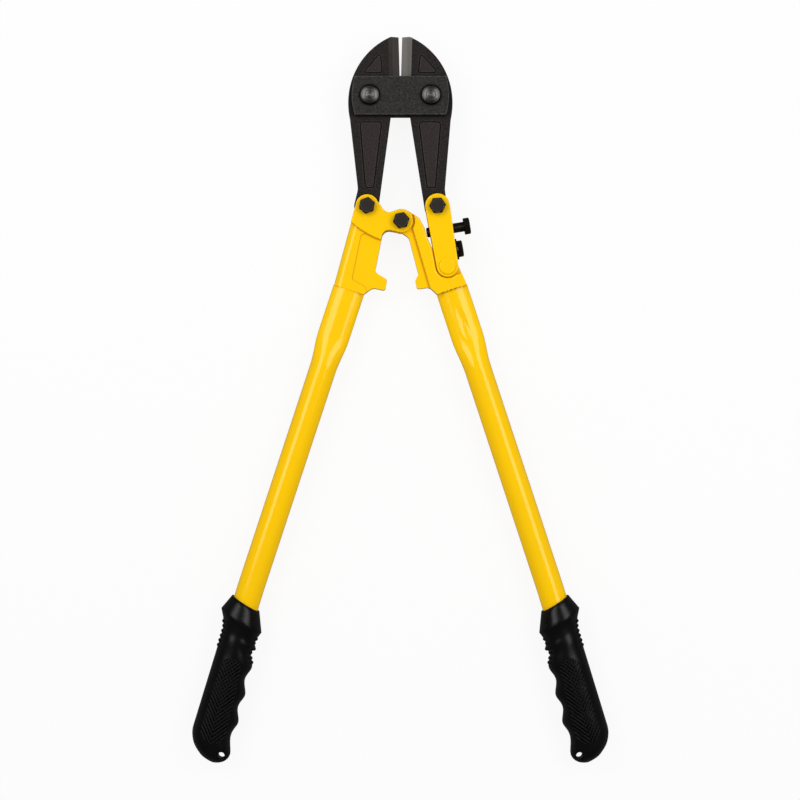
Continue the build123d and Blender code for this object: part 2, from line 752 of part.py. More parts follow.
PIECES = {
    "left_jaw": left_jaw(),
    "right_jaw": right_jaw(),
    "front_jaw_plate": jaw_plate(),
    "rear_jaw_plate": rear(jaw_plate()),
    "left_jaw_pin": jaw_pin(-1),
    "right_jaw_pin": jaw_pin(1),
    "left_jaw_pin_nut": jaw_pin_nut(-1),
    "right_jaw_pin_nut": jaw_pin_nut(1),
    "left_handle_head": left_handle_head(),
    "right_handle_head": right_handle_head(),
    "left_handle_tube": handle_tube(),
    "right_handle_tube": mirrored(handle_tube() - crimp()),
    "left_grip": grip(),
    "right_grip": mirrored(grip()),
    "centre_pivot_bolt": pivot_bolt(CENTRE, CENTRE_BOLT_TURN),
    "centre_pivot_nut": pivot_nut(CENTRE),
    "left_tail_bolt": pivot_bolt(LEFT_TAIL, LEFT_BOLT_TURN),
    "left_tail_nut": pivot_nut(LEFT_TAIL),
    "right_tail_bolt": pivot_bolt(RIGHT_TAIL, RIGHT_BOLT_TURN),
    "right_tail_nut": pivot_nut(RIGHT_TAIL),
    "front_link_plate": link_plate(),
    "rear_link_plate": rear(link_plate()),
    "adjuster_block": adjuster_block(),
    "link_rivet": link_rivet(),
    "adjusting_screw": adjusting_screw(),
    "lock_screw": lock_screw(),
    "lock_screw_washer": lock_screw_washer(),
}

box = Compound(children=[Compound(piece.solids()) for piece in PIECES.values()]).bounding_box()
TO_ORIGIN = Pos(-box.center().X, -box.center().Y, -box.min.Z)

os.makedirs("parts", exist_ok=True)
for name, piece in PIECES.items():
    export_step(TO_ORIGIN * piece, f"parts/{name}.step")

print("size", box.size, "shift", TO_ORIGIN.position)
print("hanging hole, left, before the shift", hang_point())
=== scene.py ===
from math import cos, floor, pi, radians, sin, tan

import bpy
from bpy.props import FloatProperty, FloatVectorProperty, IntProperty, PointerProperty
from bpy.types import Operator, Panel, PropertyGroup
from mathutils import Matrix, Vector


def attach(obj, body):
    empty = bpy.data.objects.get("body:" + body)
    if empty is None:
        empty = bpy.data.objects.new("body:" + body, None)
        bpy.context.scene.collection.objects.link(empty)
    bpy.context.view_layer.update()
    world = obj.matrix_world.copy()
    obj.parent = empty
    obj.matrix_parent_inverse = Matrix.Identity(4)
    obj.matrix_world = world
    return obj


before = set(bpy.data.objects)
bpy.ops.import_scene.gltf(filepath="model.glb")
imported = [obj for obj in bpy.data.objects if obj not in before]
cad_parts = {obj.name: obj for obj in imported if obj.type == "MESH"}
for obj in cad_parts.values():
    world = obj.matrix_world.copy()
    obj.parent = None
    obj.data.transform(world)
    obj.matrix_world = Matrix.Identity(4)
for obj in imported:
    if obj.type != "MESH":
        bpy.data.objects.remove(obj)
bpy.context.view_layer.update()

bl_info = {
    "name": "Bolt cutters",
    "version": (1, 0, 0),
    "blender": (4, 5, 0),
    "location": "View3D > Sidebar > Bolt cutters",
    "description": "Finishes, moulded grip detail and studio for a pair of bolt cutters",
    "category": "Object",
}

UP = Vector((0.0, 0.0, 1.0))
WHITE = (1.0, 1.0, 1.0, 1.0)

# The middle plane of the tool, and the handle on the right; the left one is its mirror image
MIDDLE_Z = 0.0165
TUBE_LINE = Vector((0.0205, 0.16))
TUBE_LEAN = radians(18.22)
GRIP_BEND = Vector((0.1228, -0.154257))
GRIP_TILT = radians(17.0)

# Spots with half sizes across, along and up: the end and the crimp of the right tube, and a jaw pin's head
SEAM = Vector((0.0423, 0.090243, MIDDLE_Z))
SEAM_SIZE = (0.014, 0.0005, 1.0)
CRIMP = Vector((0.05118, 0.063267, 0.0236))
CRIMP_SIZE = (0.0046, 0.015, 0.012)
CRIMP_FLOOR = 0.0007
JAW_PIN = Vector((0.025, 0.248743, 0.0))
PIN_SIZE = (0.00815, 0.00815, 1.0)

# What tells a jaw's surfaces apart: the blade's reach from the middle and its foot above the jaw plates, and
# heights from the middle plane under the pads' tops and above the grooves' floors
BLADE_REACH = 0.0118
BLADE_FOOT = 0.2596
FACE_HEIGHT = 0.00605
GROOVE_HEIGHT = 0.0058

# A face lies flat in the tool's plane from this square of its normal's upward part
FLAT_FROM = 0.97

# The adjuster's screws
SCREW_LEAN = radians(9.48)
THREAD_PITCH = 0.00125

# How much red, green and blue is left in the painted shade of the paint's corners
PAINT_IN_SHADE = (0.72, 0.48, 1.0)
PAPER = (0.8, 0.8, 0.8, 1.0)

# Places on a grip, measured across it towards the other handle and down it from the bend
PANEL_TOP = Vector((0.0039, 0.066))
PANEL_BOTTOM = Vector((0.0056, 0.1185))
PANEL_CENTRE = Vector((0.0052, 0.0935))
PANEL_SHEET = (0.0265, 0.077)
PANEL_STEP = 0.00032
RIB_OUTER = Vector((-0.0128, 0.0317))
RIB_INNER = Vector((0.0172, 0.0386))

# Half the width of the strip where the ridges cross, at the panel's two ends, and how softly it ends
STRIP_TOP = 0.0048
STRIP_BOTTOM = 0.0004
STRIP_SOFT = 0.0006

# A ridge's flat top and its foot, as shares of half the pitch, and the attribute that holds its height
RIDGE_FLAT = 0.22
RIDGE_FOOT = 0.58
CREST = "crest"

PAINTED = (
    "left_handle_head",
    "right_handle_head",
    "left_handle_tube",
    "right_handle_tube",
    "front_link_plate",
    "rear_link_plate",
    "adjuster_block",
    "link_rivet",
)
JAWS = ("left_jaw", "right_jaw")
PLATES = ("front_jaw_plate", "rear_jaw_plate")
PINS = ("left_jaw_pin", "right_jaw_pin")
BOLTS = (
    "left_jaw_pin_nut",
    "right_jaw_pin_nut",
    "centre_pivot_bolt",
    "centre_pivot_nut",
    "left_tail_bolt",
    "left_tail_nut",
    "right_tail_bolt",
    "right_tail_nut",
    "lock_screw_washer",
)
SCREWS = ("adjusting_screw", "lock_screw")
GRIPS = {-1: ("left_grip", "left_handle"), 1: ("right_grip", "right_handle")}


def linear(code):
    """A colour written as an sRGB hex value, as linear red, green and blue."""
    parts = [int(code[place : place + 2], 16) / 255 for place in (1, 3, 5)]
    return tuple(part / 12.92 if part <= 0.04045 else ((part + 0.055) / 1.055) ** 2.4 for part in parts)


class FinishSettings(PropertyGroup):
    paint: FloatVectorProperty(
        name="Handle paint",
        description="Colour of the powder coat on the handles",
        subtype="COLOR",
        min=0.0,
        max=1.0,
        default=linear("#FFCA00"),
    )
    plate: FloatVectorProperty(
        name="Jaw plates",
        description="Colour of the blackened plates over the jaws",
        subtype="COLOR",
        min=0.0,
        max=1.0,
        default=linear("#2C2A28"),
    )
    forged: FloatVectorProperty(
        name="Forged jaws",
        description="Colour of the blackened jaws",
        subtype="COLOR",
        min=0.0,
        max=1.0,
        default=linear("#231E1C"),
    )
    # Also used as a painted highlight along the edges of the bolts' flat faces
    wear_and_sheen: FloatVectorProperty(
        name="Worn steel",
        description="Colour of edges where the blackening has rubbed off",
        subtype="COLOR",
        min=0.0,
        max=1.0,
        default=linear("#8E8A87"),
    )
    # The left facets' darker colour is painted shade, and the right facets' paler colour is a painted
    # reflection of the left lamp
    left_blade_in_shade: FloatVectorProperty(
        name="Left blade",
        description="Colour of the left jaw's ground facets, which have kept some blackening",
        subtype="COLOR",
        min=0.0,
        max=1.0,
        default=linear("#4E4844"),
    )
    right_blade_lit: FloatVectorProperty(
        name="Right blade",
        description="Colour of the right jaw's ground facets",
        subtype="COLOR",
        min=0.0,
        max=1.0,
        default=linear("#8A8683"),
    )
    oxide: FloatVectorProperty(
        name="Bolt oxide",
        description="Colour of the bolts, nuts and screws",
        subtype="COLOR",
        min=0.0,
        max=1.0,
        default=linear("#2E2926"),
    )
    pin: FloatVectorProperty(
        name="Jaw pins",
        description="Colour of the turned heads of the jaw pins",
        subtype="COLOR",
        min=0.0,
        max=1.0,
        default=linear("#6C6A68"),
    )
    rubber: FloatVectorProperty(
        name="Grip rubber",
        description="Colour of the moulded grips",
        subtype="COLOR",
        min=0.0,
        max=1.0,
        default=linear("#0A0A0A"),
    )


class GripSettings(PropertyGroup):
    panel_top: FloatProperty(
        name="Panel top radius",
        description="Half the width of the gripping panel at its upper end",
        unit="LENGTH",
        default=0.0089,
    )
    panel_bottom: FloatProperty(
        name="Panel bottom radius",
        description="Half the width of the gripping panel at its lower end",
        unit="LENGTH",
        default=0.0112,
    )
    ridge_pitch: FloatProperty(
        name="Ridge pitch",
        description="Distance between neighbouring ridges of the gripping panel",
        unit="LENGTH",
        default=0.00247,
    )
    ridge_height: FloatProperty(
        name="Ridge height",
        description="Height of the ridges above the grooves",
        unit="LENGTH",
        default=0.0008,
    )
    ridge_lean: FloatProperty(
        name="Ridge lean",
        description="Angle between a ridge and the panel's spine",
        subtype="ANGLE",
        default=radians(39.5),
    )
    ribs: IntProperty(
        name="Neck ribs",
        description="Ribs on each flank of the grip's neck",
        min=1,
        default=6,
    )
    rib_pitch: FloatProperty(
        name="Rib pitch",
        description="Distance between neighbouring neck ribs",
        unit="LENGTH",
        default=0.00403,
    )
    rib_radius: FloatProperty(
        name="Rib radius",
        description="Radius of a neck rib's section",
        unit="LENGTH",
        default=0.0014,
    )
    rib_height: FloatProperty(
        name="Rib height",
        description="How far a neck rib stands out of the grip",
        unit="LENGTH",
        default=0.001,
    )
    rib_reach: FloatProperty(
        name="Rib reach",
        description="How far a neck rib runs up the flank from the middle plane",
        unit="LENGTH",
        default=0.0100,
    )


class StudioSettings(PropertyGroup):
    camera_distance: FloatProperty(
        name="Camera distance",
        description="Height of the camera above the tool's middle plane",
        unit="LENGTH",
        default=1.8,
    )
    view_width: FloatProperty(
        name="View width",
        description="Width of the picture at the tool's middle plane",
        unit="LENGTH",
        default=0.656,
    )
    light_height: FloatProperty(
        name="Light height",
        description="Height of the two soft lights",
        unit="LENGTH",
        default=1.15,
    )
    light_angle: FloatProperty(
        name="Light angle",
        description="Angle of the two soft lights from straight above the handle tubes",
        subtype="ANGLE",
        default=radians(34.0),
    )
    light_length: FloatProperty(
        name="Light length",
        description="Length of each soft light along its handle tube",
        unit="LENGTH",
        default=1.2,
    )
    light_width: FloatProperty(
        name="Light width",
        description="Width of each soft light",
        unit="LENGTH",
        default=0.66,
    )
    left_power: FloatProperty(
        name="Left light",
        description="Power of the light on the left",
        unit="POWER",
        default=7.6,
    )
    right_power: FloatProperty(
        name="Right light",
        description="Power of the light on the right",
        unit="POWER",
        default=7.6,
    )
    left_shift: FloatProperty(
        name="Left light shift",
        description="How far the left light stands towards the jaws, out of sight of the right tube",
        unit="LENGTH",
        default=0.17,
    )
    ambient: FloatProperty(
        name="Ambient light",
        description="Strength of the even light from all around",
        min=0.0,
        default=0.56,
    )


def add(tree, kind, inputs=None, **settings):
    """Adds a node, sets its options, and fills its open inputs with values, sockets or other nodes."""
    made = tree.nodes.new(kind)
    for name, value in settings.items():
        setattr(made, name, value)
    sockets = [socket for socket in made.inputs if socket.enabled]
    by_name = {socket.name: socket for socket in reversed(sockets)}
    for name, value in (inputs or {}).items():
        socket = by_name[name] if name in by_name else sockets[name]
        if isinstance(value, bpy.types.Node):
            value = next(output for output in value.outputs if output.enabled)
        if isinstance(value, bpy.types.NodeSocket):
            tree.links.new(value, socket)
        else:
            socket.default_value = value
    return made


def start_material(name):
    """An empty material and its node tree."""
    material = bpy.data.materials.new(name)
    material.use_nodes = True
    material.node_tree.nodes.clear()
    return material, material.node_tree


def shade(colour, factor=1.0):
    """A colour made darker or lighter, for a colour socket."""
    return (*(min(1.0, part * factor) for part in colour), 1.0)


def grains(size):
    """The scale of a noise whose grains are of a size in millimetres."""
    return 1000.0 / size


def from_spot(tree, place, centre, size, turn=0.0):
    """How far a point lies from a spot on the tool, as a share of the spot's half sizes."""
    turned = {"Vector": place, "Location": centre, "Rotation": (0.0, 0.0, turn), "Scale": size}
    spot = add(tree, "ShaderNodeMapping", turned, vector_type="TEXTURE")
    return add(tree, "ShaderNodeVectorMath", {0: spot}, operation="LENGTH")


def lies_flat(tree):
    """1 on faces that lie flat in the tool's plane, and 0 on those that lean or stand."""
    normal = add(tree, "ShaderNodeNewGeometry").outputs["True Normal"]
    upward = add(tree, "ShaderNodeSeparateXYZ", {"Vector": normal}).outputs["Z"]
    level = add(tree, "ShaderNodeMath", {0: upward, 1: upward}, operation="MULTIPLY")
    return add(tree, "ShaderNodeMath", {0: level, 1: FLAT_FROM}, operation="GREATER_THAN")


def edge_wear_and_glint(tree, radius, sharp):
    """How far the surface turns within a small radius: 0 on flats, 1 where it turns by a sharp angle."""
    soft = add(tree, "ShaderNodeBevel", {"Radius": radius}, samples=6)
    plain = add(tree, "ShaderNodeNewGeometry").outputs["Normal"]
    match = add(tree, "ShaderNodeVectorMath", {0: soft, 1: plain}, operation="DOT_PRODUCT")
    return add(tree, "ShaderNodeMapRange", {"Value": match, "From Min": 0.995, "From Max": cos(sharp)})


def painted_corner_shade(tree, reach, alone=False):
    """Mask for painted shade: how deep a point lies in a corner, or beside a neighbour: 0 in the open, 1
    deep inside.
    """
    spread = add(tree, "ShaderNodeAmbientOcclusion", {"Distance": reach}, samples=8, only_local=alone)
    return add(tree, "ShaderNodeMapRange", {"Value": spread.outputs["AO"], "From Min": 0.9, "From Max": 0.5})


def powder_coat(finish):
    """Glossy powder coat baked on steel: even colour, fine orange peel, and painted shade in the corners."""
    material, tree = start_material("yellow_powder_coat")
    place = add(tree, "ShaderNodeTexCoord").outputs["Object"]
    # Orange peel of about 1.5 mm, and broad drifts of thickness about 40 mm long
    peel = add(tree, "ShaderNodeTexNoise", {"Vector": place, "Scale": grains(1.54), "Detail": 2.0})
    drift = add(tree, "ShaderNodeTexNoise", {"Vector": place, "Scale": grains(40.0), "Detail": 2.0})
    thin = shade(finish.paint)
    thick = shade(finish.paint, 0.95)
    colour = add(tree, "ShaderNodeMix", {0: drift, 1: thin, 2: thick}, data_type="RGBA")
    # Painted shade: the paint is darkened to orange brown in the corners
    deep = shade([part * share for part, share in zip(finish.paint, PAINT_IN_SHADE)])
    corners = painted_corner_shade(tree, reach=0.002, alone=True)
    colour = add(tree, "ShaderNodeMix", {0: corners, 1: colour, 2: deep}, data_type="RGBA")
    # Specks of about 1.7 mm have chipped off along the end of the right tube, down to the dark steel
    away = from_spot(tree, place, SEAM, SEAM_SIZE, TUBE_LEAN)
    seam = add(tree, "ShaderNodeMapRange", {"Value": away, "From Min": 1.2, "From Max": 0.7})
    noise = add(tree, "ShaderNodeTexNoise", {"Vector": place, "Scale": grains(1.667), "Detail": 1.0})
    specks = add(tree, "ShaderNodeMapRange", {"Value": noise, "From Min": 0.53, "From Max": 0.58})
    chips = add(tree, "ShaderNodeMath", {0: seam, 1: specks}, operation="MULTIPLY")
    bare = shade(finish.oxide, 0.5)
    colour = add(tree, "ShaderNodeMix", {0: chips, 1: colour, 2: bare}, data_type="RGBA")
    # The oval crimp in the right tube falls ever more steeply to its middle line
    away = from_spot(tree, place, CRIMP, CRIMP_SIZE, TUBE_LEAN)
    inward = add(tree, "ShaderNodeMapRange", {"Value": away, "From Min": 1.0, "From Max": 0.0})
    crimp = add(tree, "ShaderNodeMath", {0: inward, 1: inward}, operation="MULTIPLY")
    skin = add(tree, "ShaderNodeBump", {"Height": peel, "Strength": 0.1, "Distance": 0.0002})
    dent = {"Height": crimp, "Strength": 1.0, "Distance": CRIMP_FLOOR, "Normal": skin}
    gloss = {"Value": drift, "From Min": 0.3, "From Max": 0.7, "To Min": 0.12, "To Max": 0.17}
    shader = add(
        tree,
        "ShaderNodeBsdfPrincipled",
        {
            "Base Color": colour,
            "Roughness": add(tree, "ShaderNodeMapRange", gloss),
            "Normal": add(tree, "ShaderNodeBump", dent, invert=True),
            "IOR": 1.5,
            "Specular Tint": (1.0, 0.97, 0.75, 1.0),
        },
    )
    add(tree, "ShaderNodeOutputMaterial", {"Surface": shader})
    return material


def jaw_places(tree, place):
    """Masks for a jaw's ground facets, its body below the pads' tops, the grooves and the right half."""
    spot = add(tree, "ShaderNodeSeparateXYZ", {"Vector": place})
    beside = spot.outputs["X"]
    height = spot.outputs["Z"]
    flat = lies_flat(tree)
    # The facets lie close to the middle, above the jaw plates, and lean
    leaning = add(tree, "ShaderNodeMath", {0: 1.0, 1: flat}, operation="SUBTRACT")
    near = add(tree, "ShaderNodeMath", {0: beside, 1: 0.0, 2: BLADE_REACH}, operation="COMPARE")
    above = add(tree, "ShaderNodeMath", {0: spot.outputs["Y"], 1: BLADE_FOOT}, operation="GREATER_THAN")
    facet = add(tree, "ShaderNodeMath", {0: near, 1: above}, operation="MULTIPLY")
    facet = add(tree, "ShaderNodeMath", {0: facet, 1: leaning}, operation="MULTIPLY")
    # The pads stand a little higher than the faces, and the grooves' floors lie a little lower
    body = add(tree, "ShaderNodeMath", {0: height, 1: MIDDLE_Z, 2: FACE_HEIGHT}, operation="COMPARE")
    sunk = add(tree, "ShaderNodeMath", {0: height, 1: MIDDLE_Z, 2: GROOVE_HEIGHT}, operation="COMPARE")
    groove = add(tree, "ShaderNodeMath", {0: flat, 1: sunk}, operation="MULTIPLY")
    right = add(tree, "ShaderNodeMath", {0: beside, 1: 0.0}, operation="GREATER_THAN")
    return facet, body, groove, right


def forged_steel(finish, name, tone, rub, is_jaw):
    """Hot-forged steel, blackened: matt and grainy, rubbed paler on its edges, with painted shade in its
    corners and grooves.
    """
    material, tree = start_material(name)
    place = add(tree, "ShaderNodeTexCoord").outputs["Object"]
    # Forge scale in flakes of about 1.3 mm with finer pitting of 0.6 mm
    flakes = {"Vector": place, "Scale": grains(1.333), "Detail": 4.0, "Roughness": 0.65}
    scale = add(tree, "ShaderNodeTexNoise", flakes)
    pits = add(tree, "ShaderNodeTexNoise", {"Vector": place, "Scale": grains(0.588), "Detail": 2.0})
    grain = add(tree, "ShaderNodeMapRange", {"Value": scale, "From Min": 0.35, "From Max": 0.68})
    low = shade(tone, 0.45)
    high = shade(tone, 1.6)
    colour = add(tree, "ShaderNodeMix", {0: grain, 1: low, 2: high}, data_type="RGBA")
    metal = 0.0
    if is_jaw:
        facet, body, groove, right = jaw_places(tree, place)
        # The pads are rubbed greyer, and the grooves round them are painted near black as shade
        low = shade(tone, 1.1)
        high = shade(tone, 2.2)
        pad = add(tree, "ShaderNodeMix", {0: grain, 1: low, 2: high}, data_type="RGBA")
        colour = add(tree, "ShaderNodeMix", {0: body, 1: pad, 2: colour}, data_type="RGBA")
        colour = add(tree, "ShaderNodeMix", {0: groove, 1: colour, 2: shade(tone, 0.1)}, data_type="RGBA")
    # The blackening is rubbed off the edges in specks
    specks = {"Value": grain, "To Min": 0.2 * rub, "To Max": rub}
    bare = add(tree, "ShaderNodeMapRange", specks)
    edges = edge_wear_and_glint(tree, radius=0.0011, sharp=radians(25.0))
    rubbed = add(tree, "ShaderNodeMath", {0: edges, 1: bare}, operation="MULTIPLY")
    colour = add(tree, "ShaderNodeMix", {0: rubbed, 1: colour, 2: shade(finish.wear_and_sheen)}, data_type="RGBA")
    if is_jaw:
        # Grinding lines about 1.7 mm apart, coarser than real ones to show, run along the blade
        lines = add(tree, "ShaderNodeMapping", {"Vector": place, "Scale": (1.0, 0.04, 1.0)})
        grind = add(tree, "ShaderNodeTexNoise", {"Vector": lines, "Scale": grains(1.667), "Detail": 4.0})
        # The ground facets are painted darker on the left jaw as shade, and paler on the right jaw as a
        # painted reflection of the left lamp
        bright_sides = {0: right, 1: shade(finish.left_blade_in_shade), 2: shade(finish.right_blade_lit)}
        dull_sides = {0: right, 1: shade(finish.left_blade_in_shade, 0.55), 2: shade(finish.right_blade_lit, 0.55)}
        bright = add(tree, "ShaderNodeMix", bright_sides, data_type="RGBA")
        dull = add(tree, "ShaderNodeMix", dull_sides, data_type="RGBA")
        ground = add(tree, "ShaderNodeMix", {0: grind, 1: dull, 2: bright}, data_type="RGBA")
        colour = add(tree, "ShaderNodeMix", {0: facet, 1: colour, 2: ground}, data_type="RGBA")
        # A thin film of oil and oxide hides most of the bare metal
        metal = add(tree, "ShaderNodeMapRange", {"Value": facet, "To Max": 0.3})
    # Painted shade in the corners and beside neighbouring pieces
    corners = painted_corner_shade(tree, reach=0.0026)
    colour = add(tree, "ShaderNodeMix", {0: corners, 1: colour, 2: shade(tone, 0.1)}, data_type="RGBA")
    height = add(tree, "ShaderNodeMath", {0: scale, 1: pits}, operation="ADD")
    shader = add(
        tree,
        "ShaderNodeBsdfPrincipled",
        {
            "Base Color": colour,
            "Roughness": add(tree, "ShaderNodeMapRange", {"Value": grain, "To Min": 0.6, "To Max": 0.45}),
            "Metallic": metal,
            "Specular IOR Level": 0.15,
            "Normal": add(tree, "ShaderNodeBump", {"Height": height, "Strength": 0.6, "Distance": 0.0005}),
        },
    )
    add(tree, "ShaderNodeOutputMaterial", {"Surface": shader})
    return material


def turned_steel(finish):
    """Turned pin heads in thin black oxide: smooth dark metal that mirrors the lights softly."""
    material, tree = start_material("turned_pin_steel")
    place = add(tree, "ShaderNodeTexCoord").outputs["Object"]
    # Faint uneven oxide in patches of about 1.4 mm
    mottle = add(tree, "ShaderNodeTexNoise", {"Vector": place, "Scale": grains(1.43), "Detail": 2.0})
    low = shade(finish.pin, 0.85)
    high = shade(finish.pin, 1.15)
    colour = add(tree, "ShaderNodeMix", {0: mottle, 1: low, 2: high}, data_type="RGBA")
    # Painted shade: the outer rim, where the head falls away, is painted near black
    mirrored = add(tree, "ShaderNodeVectorMath", {0: place}, operation="ABSOLUTE")
    away = from_spot(tree, mirrored, JAW_PIN, PIN_SIZE)
    rim = add(tree, "ShaderNodeMapRange", {"Value": away, "From Min": 0.72, "From Max": 0.95})
    black = shade(finish.pin, 0.08)
    colour = add(tree, "ShaderNodeMix", {0: rim, 1: colour, 2: black}, data_type="RGBA")
    shader = add(
        tree,
        "ShaderNodeBsdfPrincipled",
        {
            "Base Color": colour,
            "Metallic": 1.0,
            "Roughness": add(tree, "ShaderNodeMapRange", {"Value": mottle, "To Min": 0.27, "To Max": 0.35}),
            "Normal": add(tree, "ShaderNodeBevel", {"Radius": 0.002}, samples=16),
        },
    )
    add(tree, "ShaderNodeOutputMaterial", {"Surface": shader})
    return material


def oxide_steel(finish, name, threaded):
    """Machined steel in black oxide: dark satin, greyer on the faces, with painted shade on the flanks and
    in the corners, and pale edges that are partly rubbed wear and partly a painted highlight.
    """
    material, tree = start_material(name)
    tone = finish.oxide
    place = add(tree, "ShaderNodeTexCoord").outputs["Object"]
    # Uneven oxide in patches of about 1.4 mm
    mottle = add(tree, "ShaderNodeTexNoise", {"Vector": place, "Scale": grains(1.43), "Detail": 3.0})
    low = shade(tone, 0.75)
    high = shade(tone, 1.25)
    face = add(tree, "ShaderNodeMix", {0: mottle, 1: low, 2: high}, data_type="RGBA")
    # The edges of the flat faces are painted pale: partly rubbed wear, partly a painted highlight on the
    # chamfer
    edges = edge_wear_and_glint(tree, radius=0.0006, sharp=radians(15.0))
    face = add(tree, "ShaderNodeMix", {0: edges, 1: face, 2: shade(finish.wear_and_sheen)}, data_type="RGBA")
    # Painted shade: the chamfers and flanks are painted darker than the flat faces
    flank = shade(tone, 0.2)
    colour = add(tree, "ShaderNodeMix", {0: lies_flat(tree), 1: flank, 2: face}, data_type="RGBA")
    # Painted shade in the corners and beside neighbouring pieces
    corners = painted_corner_shade(tree, reach=0.0012)
    colour = add(tree, "ShaderNodeMix", {0: corners, 1: colour, 2: shade(tone, 0.15)}, data_type="RGBA")
    height = mottle
    strength = 0.08
    if threaded:
        # Threads across the shank, whose axis leans in the tool's plane.
        # A wave of scale 1 has 20 / (2 pi) bands in a metre.
        lean = (0.0, 0.0, -SCREW_LEAN)
        turned = add(tree, "ShaderNodeMapping", {"Vector": place, "Rotation": lean})
        height = add(
            tree,
            "ShaderNodeTexWave",
            {"Vector": turned, "Scale": 2 * pi / 20 / THREAD_PITCH},
            wave_type="BANDS",
            bands_direction="X",
            wave_profile="TRI",
        ).outputs["Fac"]
        strength = 0.6
    relief = {"Height": height, "Strength": strength, "Distance": 0.0006}
    shader = add(
        tree,
        "ShaderNodeBsdfPrincipled",
        {
            "Base Color": colour,
            "Roughness": add(tree, "ShaderNodeMapRange", {"Value": mottle, "To Min": 0.26, "To Max": 0.34}),
            "Normal": add(tree, "ShaderNodeBump", relief),
            "Specular IOR Level": 0.2,
        },
    )
    add(tree, "ShaderNodeOutputMaterial", {"Surface": shader})
    return material


def moulded_rubber(finish, name, rounding, gloss, is_ridged):
    """Moulded black rubber: deep colour, satin skin with a fine spark-eroded grain and soft edges, painted
    shade in its corners, and on ridges a painted sheen on the crests.
    """
    material, tree = start_material(name)
    place = add(tree, "ShaderNodeTexCoord").outputs["Object"]
    # Mould grain of about 0.7 mm, and handling marks about 14 mm across
    grain = add(tree, "ShaderNodeTexNoise", {"Vector": place, "Scale": grains(0.667), "Detail": 2.0})
    marks = add(tree, "ShaderNodeTexNoise", {"Vector": place, "Scale": grains(14.3), "Detail": 3.0})
    low = shade(finish.rubber, 0.8)
    high = shade(finish.rubber, 1.3)
    colour = add(tree, "ShaderNodeMix", {0: marks, 1: low, 2: high}, data_type="RGBA")
    dark = shade(finish.rubber, 0.1)
    if is_ridged:
        # Painted light on the ridges: the crests are painted grey as a sheen, and the grooves between them
        # black as shade
        crest = add(tree, "ShaderNodeAttribute", attribute_name=CREST).outputs["Fac"]
        wear_and_sheen = shade(finish.rubber, 2.8)
        colour = add(tree, "ShaderNodeMix", {0: crest, 1: dark, 2: wear_and_sheen}, data_type="RGBA")
    # Painted shade in the corners and beside neighbouring pieces
    corners = painted_corner_shade(tree, reach=0.001)
    colour = add(tree, "ShaderNodeMix", {0: corners, 1: colour, 2: dark}, data_type="RGBA")
    skin = {"Value": marks, "From Min": 0.3, "From Max": 0.7, "To Min": 0.25, "To Max": 0.32}
    soft = add(tree, "ShaderNodeBevel", {"Radius": rounding}, samples=8)
    bump = {"Height": grain, "Strength": 0.1, "Distance": 0.0002, "Normal": soft}
    shader = add(
        tree,
        "ShaderNodeBsdfPrincipled",
        {
            "Base Color": colour,
            "Roughness": add(tree, "ShaderNodeMapRange", skin),
            "Normal": add(tree, "ShaderNodeBump", bump),
            "IOR": 1.5,
            "Specular IOR Level": gloss,
        },
    )
    add(tree, "ShaderNodeOutputMaterial", {"Surface": shader})
    return material


def wear(piece, material):
    """Gives a piece one material all over."""
    piece.data.materials.clear()
    piece.data.materials.append(material)


def add_piece(piece, name, body, material):
    """Names a finished piece of the tool, gives it its finish and makes it move with its body."""
    piece.name = name
    wear(piece, material)
    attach(piece, body)


def clamp(value):
    """A value kept between 0 and 1."""
    return max(0.0, min(1.0, value))


class GripFrame:
    """A grip's own axes at its bend: across towards the other handle, and down the grip."""

    def __init__(self, side):
        self.across = Vector((-side * cos(GRIP_TILT), -sin(GRIP_TILT), 0.0))
        self.along = Vector((side * sin(GRIP_TILT), -cos(GRIP_TILT), 0.0))
        self.origin = Vector((side * GRIP_BEND.x, GRIP_BEND.y, MIDDLE_Z))

    def point(self, place):
        """A place on the grip's middle plane in the tool's frame."""
        return self.origin + self.across * place.x + self.along * place.y

    def place(self, point):
        """A point of the tool's frame measured across and down the grip."""
        away = point - self.origin
        return Vector((away.dot(self.across), away.dot(self.along)))


def panel_edge(grip, place):
    """How far a place lies inside the panel's tapered, round-ended outline, and how far down it."""
    line = PANEL_BOTTOM - PANEL_TOP
    share = clamp((place - PANEL_TOP).dot(line) / line.length_squared)
    radius = grip.panel_top + (grip.panel_bottom - grip.panel_top) * share
    return radius - (place - PANEL_TOP - line * share).length, share


def ridge(distance, pitch):
    """Height of a row of flat-topped ridges, from 0 in a groove to 1 on a crest."""
    from_crest = abs(2 * (distance / pitch - floor(distance / pitch)) - 1)
    return clamp((RIDGE_FOOT - from_crest) / (RIDGE_FOOT - RIDGE_FLAT))


def herringbone(grip, place):
    """Ridges that fall towards the panel's spine from both sides and cross in a narrowing strip."""
    inside, share = panel_edge(grip, place)
    spine = (PANEL_BOTTOM - PANEL_TOP).normalized()
    beside = (place - PANEL_TOP).dot(Vector((spine.y, -spine.x)))
    down = (place - PANEL_TOP).dot(spine) * sin(grip.ridge_lean)
    sideways = beside * cos(grip.ridge_lean)
    strip = STRIP_TOP + (STRIP_BOTTOM - STRIP_TOP) * share
    falling = ridge(down - sideways, grip.ridge_pitch) * clamp((strip - beside) / STRIP_SOFT + 0.5)
    rising = ridge(down + sideways, grip.ridge_pitch) * clamp((strip + beside) / STRIP_SOFT + 0.5)
    return inside, max(falling, rising)


class BOLT_CUTTERS_OT_paint(Operator):
    """Coats the handle heads, tubes and adjuster link in yellow powder coat"""

    bl_idname = "bolt_cutters.paint"
    bl_label = "Paint handles"

    def execute(self, context):
        coat = powder_coat(context.scene.cutter_finish)
        for name in PAINTED:
            wear(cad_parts[name], coat)
        return {"FINISHED"}


